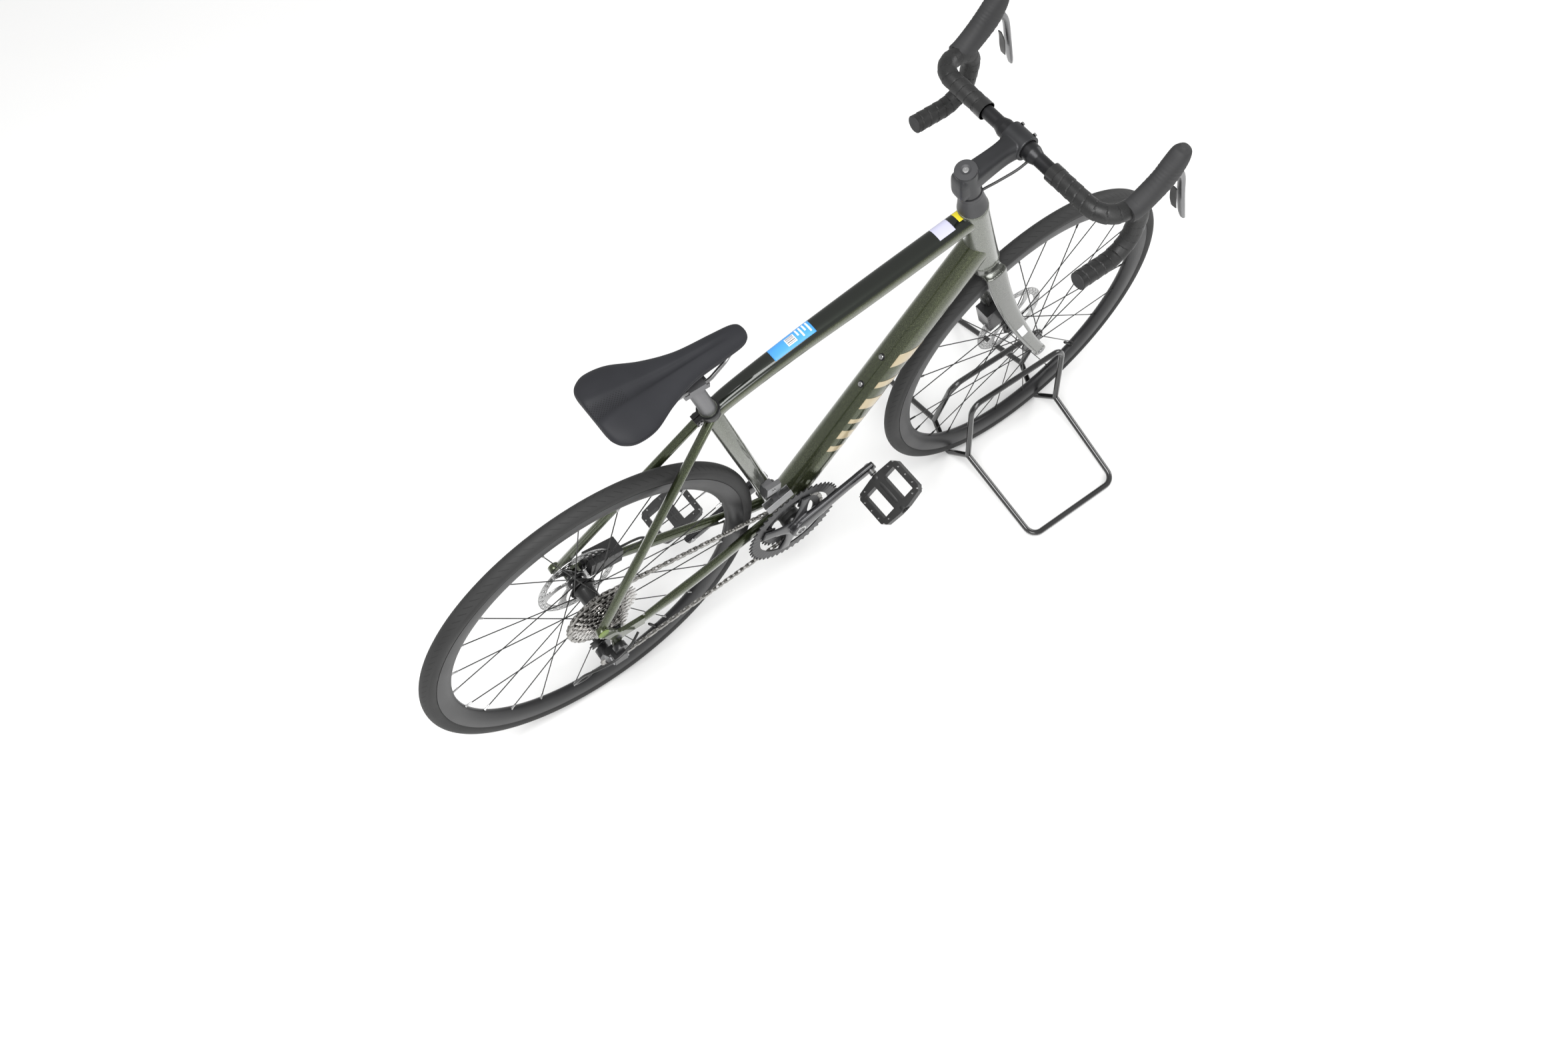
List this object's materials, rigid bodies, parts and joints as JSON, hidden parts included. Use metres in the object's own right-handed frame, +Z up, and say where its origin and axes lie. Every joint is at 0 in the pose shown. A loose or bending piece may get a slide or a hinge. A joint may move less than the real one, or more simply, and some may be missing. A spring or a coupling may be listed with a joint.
{
  "type": "road bicycle on floor stand",
  "caption": "Drop-bar road bicycle with disc brakes, its front wheel held upright in a bent-rod floor stand; the bars, wheels, cranks, pedals, levers, gears and seat post move.",
  "frame": {"origin": "on the floor, midway between the two wheel axles, in the bicycle's middle plane", "axes": "+X forwards, +Y to the rider's left, +Z up"},
  "size_m": [1.6869, 0.544, 1.0562],
  "materials": {
    "frame_paint": "glossy metallic olive green",
    "fork_paint": "glossy sage grey",
    "stand_paint": "gloss black",
    "tyre": "matte with tread",
    "rim_black": "satin black anodised",
    "hub_black": "satin black anodised",
    "spoke_black": "black",
    "rotor_steel": "brushed",
    "axle_steel": "satin",
    "headset_black": "satin black",
    "stem_alloy": "dark satin grey",
    "bar_alloy": "satin grey",
    "bar_tape": "embossed black",
    "hood_rubber": "matte dark grey",
    "lever_alloy": "satin grey",
    "paddle_black": "matte black",
    "caliper_black": "satin black",
    "bracket_alloy": "satin dark",
    "collar_black": "satin black",
    "post_alloy": "satin grey",
    "clamp_alloy": "satin grey",
    "rail_steel": "satin",
    "saddle_cover": "matte dark grey synthetic",
    "cassette_steel": "nickel",
    "chain_steel": "nickel",
    "crank_alloy": "glossy dark grey",
    "ring_alloy": "satin dark grey",
    "pedal_black": "matte black",
    "derailleur_alloy": "satin grey",
    "derailleur_black": "satin black",
    "pulley_black": "matte black",
    "cable_black": "satin black"
  },
  "bodies": {
    "stand": {"stand_right": "stand_paint", "stand_left": "stand_paint", "stand_cross_rods": "stand_paint"},
    "fork": {"fork": "fork_paint", "front_axle": "axle_steel", "headset": "headset_black", "stem": "stem_alloy", "stem_faceplate": "stem_alloy", "handlebar": "bar_alloy", "bar_tape_left": "bar_tape", "bar_tape_right": "bar_tape", "hood_left": "hood_rubber", "hood_right": "hood_rubber", "front_caliper": "caliper_black"},
    "brake_lever_left": {"brake_lever_left": "lever_alloy"},
    "brake_lever_right": {"brake_lever_right": "lever_alloy"},
    "shift_paddle_left": {"shift_paddle_left": "paddle_black"},
    "shift_paddle_right": {"shift_paddle_right": "paddle_black"},
    "front_wheel": {"front_tyre": "tyre", "front_rim": "rim_black", "front_hub": "hub_black", "front_spokes": "spoke_black", "front_rotor": "rotor_steel"},
    "frame": {"head_tube": "frame_paint", "top_tube": "frame_paint", "down_tube": "frame_paint", "seat_tube": "frame_paint", "bb_shell": "bracket_alloy", "chainstay_left": "frame_paint", "chainstay_right": "frame_paint", "seatstay_left": "frame_paint", "seatstay_right": "frame_paint", "seat_collar": "collar_black", "rear_axle": "axle_steel", "rear_caliper": "caliper_black", "fd_body": "derailleur_alloy", "rd_upper_knuckle": "derailleur_black", "shift_housing": "cable_black", "chain": "chain_steel"},
    "seatpost": {"seatpost": "post_alloy", "saddle_clamp": "clamp_alloy", "saddle_rails": "rail_steel", "saddle": "saddle_cover"},
    "rear_wheel": {"rear_tyre": "tyre", "rear_rim": "rim_black", "rear_hub": "hub_black", "rear_spokes": "spoke_black", "rear_rotor": "rotor_steel", "cassette": "cassette_steel"},
    "crank": {"crank_right": "crank_alloy", "crank_left": "crank_alloy", "chainrings": "ring_alloy"},
    "pedal_left": {"pedal_left": "pedal_black"},
    "pedal_right": {"pedal_right": "pedal_black"},
    "fd_cage": {"fd_cage": "derailleur_alloy"},
    "rd_links": {"rd_links": "derailleur_alloy"},
    "rd_lower_knuckle": {"rd_lower_knuckle": "derailleur_black"},
    "rd_cage": {"rd_cage": "derailleur_black"},
    "guide_pulley": {"guide_pulley": "pulley_black"},
    "tension_pulley": {"tension_pulley": "pulley_black"}
  },
  "joints": [
    {"name": "lift_out_of_stand", "type": "slide", "parent": "stand", "child": "fork", "axis": [0, 0, 1], "range_m": [0, 0.25]},
    {"name": "steer", "type": "hinge", "parent": "fork", "child": "frame", "pos_m": [0.45422, 0, 0.32456], "axis": [-0.3223, 0, 0.9466], "range_deg": [-40, 40]},
    {"name": "front_wheel_spin", "type": "hinge", "parent": "fork", "child": "front_wheel", "pos_m": [0.5025, 0, 0.341], "axis": [0, 1, 0], "continuous": true},
    {"name": "brake_lever_left", "type": "hinge", "parent": "fork", "child": "brake_lever_left", "pos_m": [0.467, 0.203, 1.006], "axis": [0, 1, 0], "range_deg": [0, 18], "stiffness_Nm_per_rad": 1.5, "springref_deg": -8.59},
    {"name": "shift_paddle_left", "type": "hinge", "parent": "brake_lever_left", "child": "shift_paddle_left", "pos_m": [0.489, 0.208, 0.95], "axis": [0.3307, 0.0496, -0.9424], "range_deg": [0, 12], "stiffness_Nm_per_rad": 0.2, "springref_deg": -5.73},
    {"name": "brake_lever_right", "type": "hinge", "parent": "fork", "child": "brake_lever_right", "pos_m": [0.467, -0.203, 1.006], "axis": [0, 1, 0], "range_deg": [0, 18], "stiffness_Nm_per_rad": 1.5, "springref_deg": -8.59},
    {"name": "shift_paddle_right", "type": "hinge", "parent": "brake_lever_right", "child": "shift_paddle_right", "pos_m": [0.489, -0.208, 0.95], "axis": [-0.3307, 0.0496, 0.9424], "range_deg": [0, 12], "stiffness_Nm_per_rad": 0.2, "springref_deg": -5.73},
    {"name": "seat_height", "type": "slide", "parent": "frame", "child": "seatpost", "axis": [-0.3066, 0, 0.9518], "range_m": [-0.06, 0.04]},
    {"name": "rear_wheel_spin", "type": "hinge", "parent": "frame", "child": "rear_wheel", "pos_m": [-0.5025, 0, 0.341], "axis": [0, 1, 0], "continuous": true, "deforming": ["chain"]},
    {"name": "crank_spin", "type": "hinge", "parent": "frame", "child": "crank", "pos_m": [-0.094, 0, 0.268], "axis": [0, 1, 0], "continuous": true},
    {"name": "pedal_left_spin", "type": "hinge", "parent": "crank", "child": "pedal_left", "pos_m": [-0.24612, 0.137, 0.18881], "axis": [0, 1, 0], "continuous": true},
    {"name": "pedal_right_spin", "type": "hinge", "parent": "crank", "child": "pedal_right", "pos_m": [0.05812, -0.137, 0.34719], "axis": [0, 1, 0], "continuous": true},
    {"name": "fd_shift", "type": "slide", "parent": "frame", "child": "fd_cage", "axis": [0, -1, 0], "range_m": [0, 0.0085]},
    {"name": "rd_shift", "type": "slide", "parent": "frame", "child": "rd_lower_knuckle", "axis": [0, -0.974, -0.2265], "range_m": [0, 0.0365], "deforming": ["shift_housing"]},
    {"name": "rd_link_swing", "type": "hinge", "parent": "frame", "child": "rd_links", "pos_m": [-0.514, -0.09, 0.29], "axis": [1, 0, 0], "range_deg": [-48, 0]},
    {"name": "rd_cage_swing", "type": "hinge", "parent": "rd_lower_knuckle", "child": "rd_cage", "pos_m": [-0.522, -0.026, 0.238], "axis": [0, 1, 0], "range_deg": [-8, 30], "stiffness_Nm_per_rad": 2},
    {"name": "guide_pulley_spin", "type": "hinge", "parent": "rd_cage", "child": "guide_pulley", "pos_m": [-0.514, -0.026, 0.242], "axis": [0, 1, 0], "continuous": true},
    {"name": "tension_pulley_spin", "type": "hinge", "parent": "rd_cage", "child": "tension_pulley", "pos_m": [-0.497, -0.026, 0.146], "axis": [0, 1, 0], "continuous": true}
  ],
  "couplings": [
    {"joint": "crank_spin", "follows": "rear_wheel_spin", "ratio": 1},
    {"joint": "guide_pulley_spin", "follows": "rear_wheel_spin", "ratio": -3.0909},
    {"joint": "tension_pulley_spin", "follows": "rear_wheel_spin", "ratio": 3.0909},
    {"joint": "rd_link_swing", "follows": "rd_shift", "rad_per_m": -22}
  ]
}
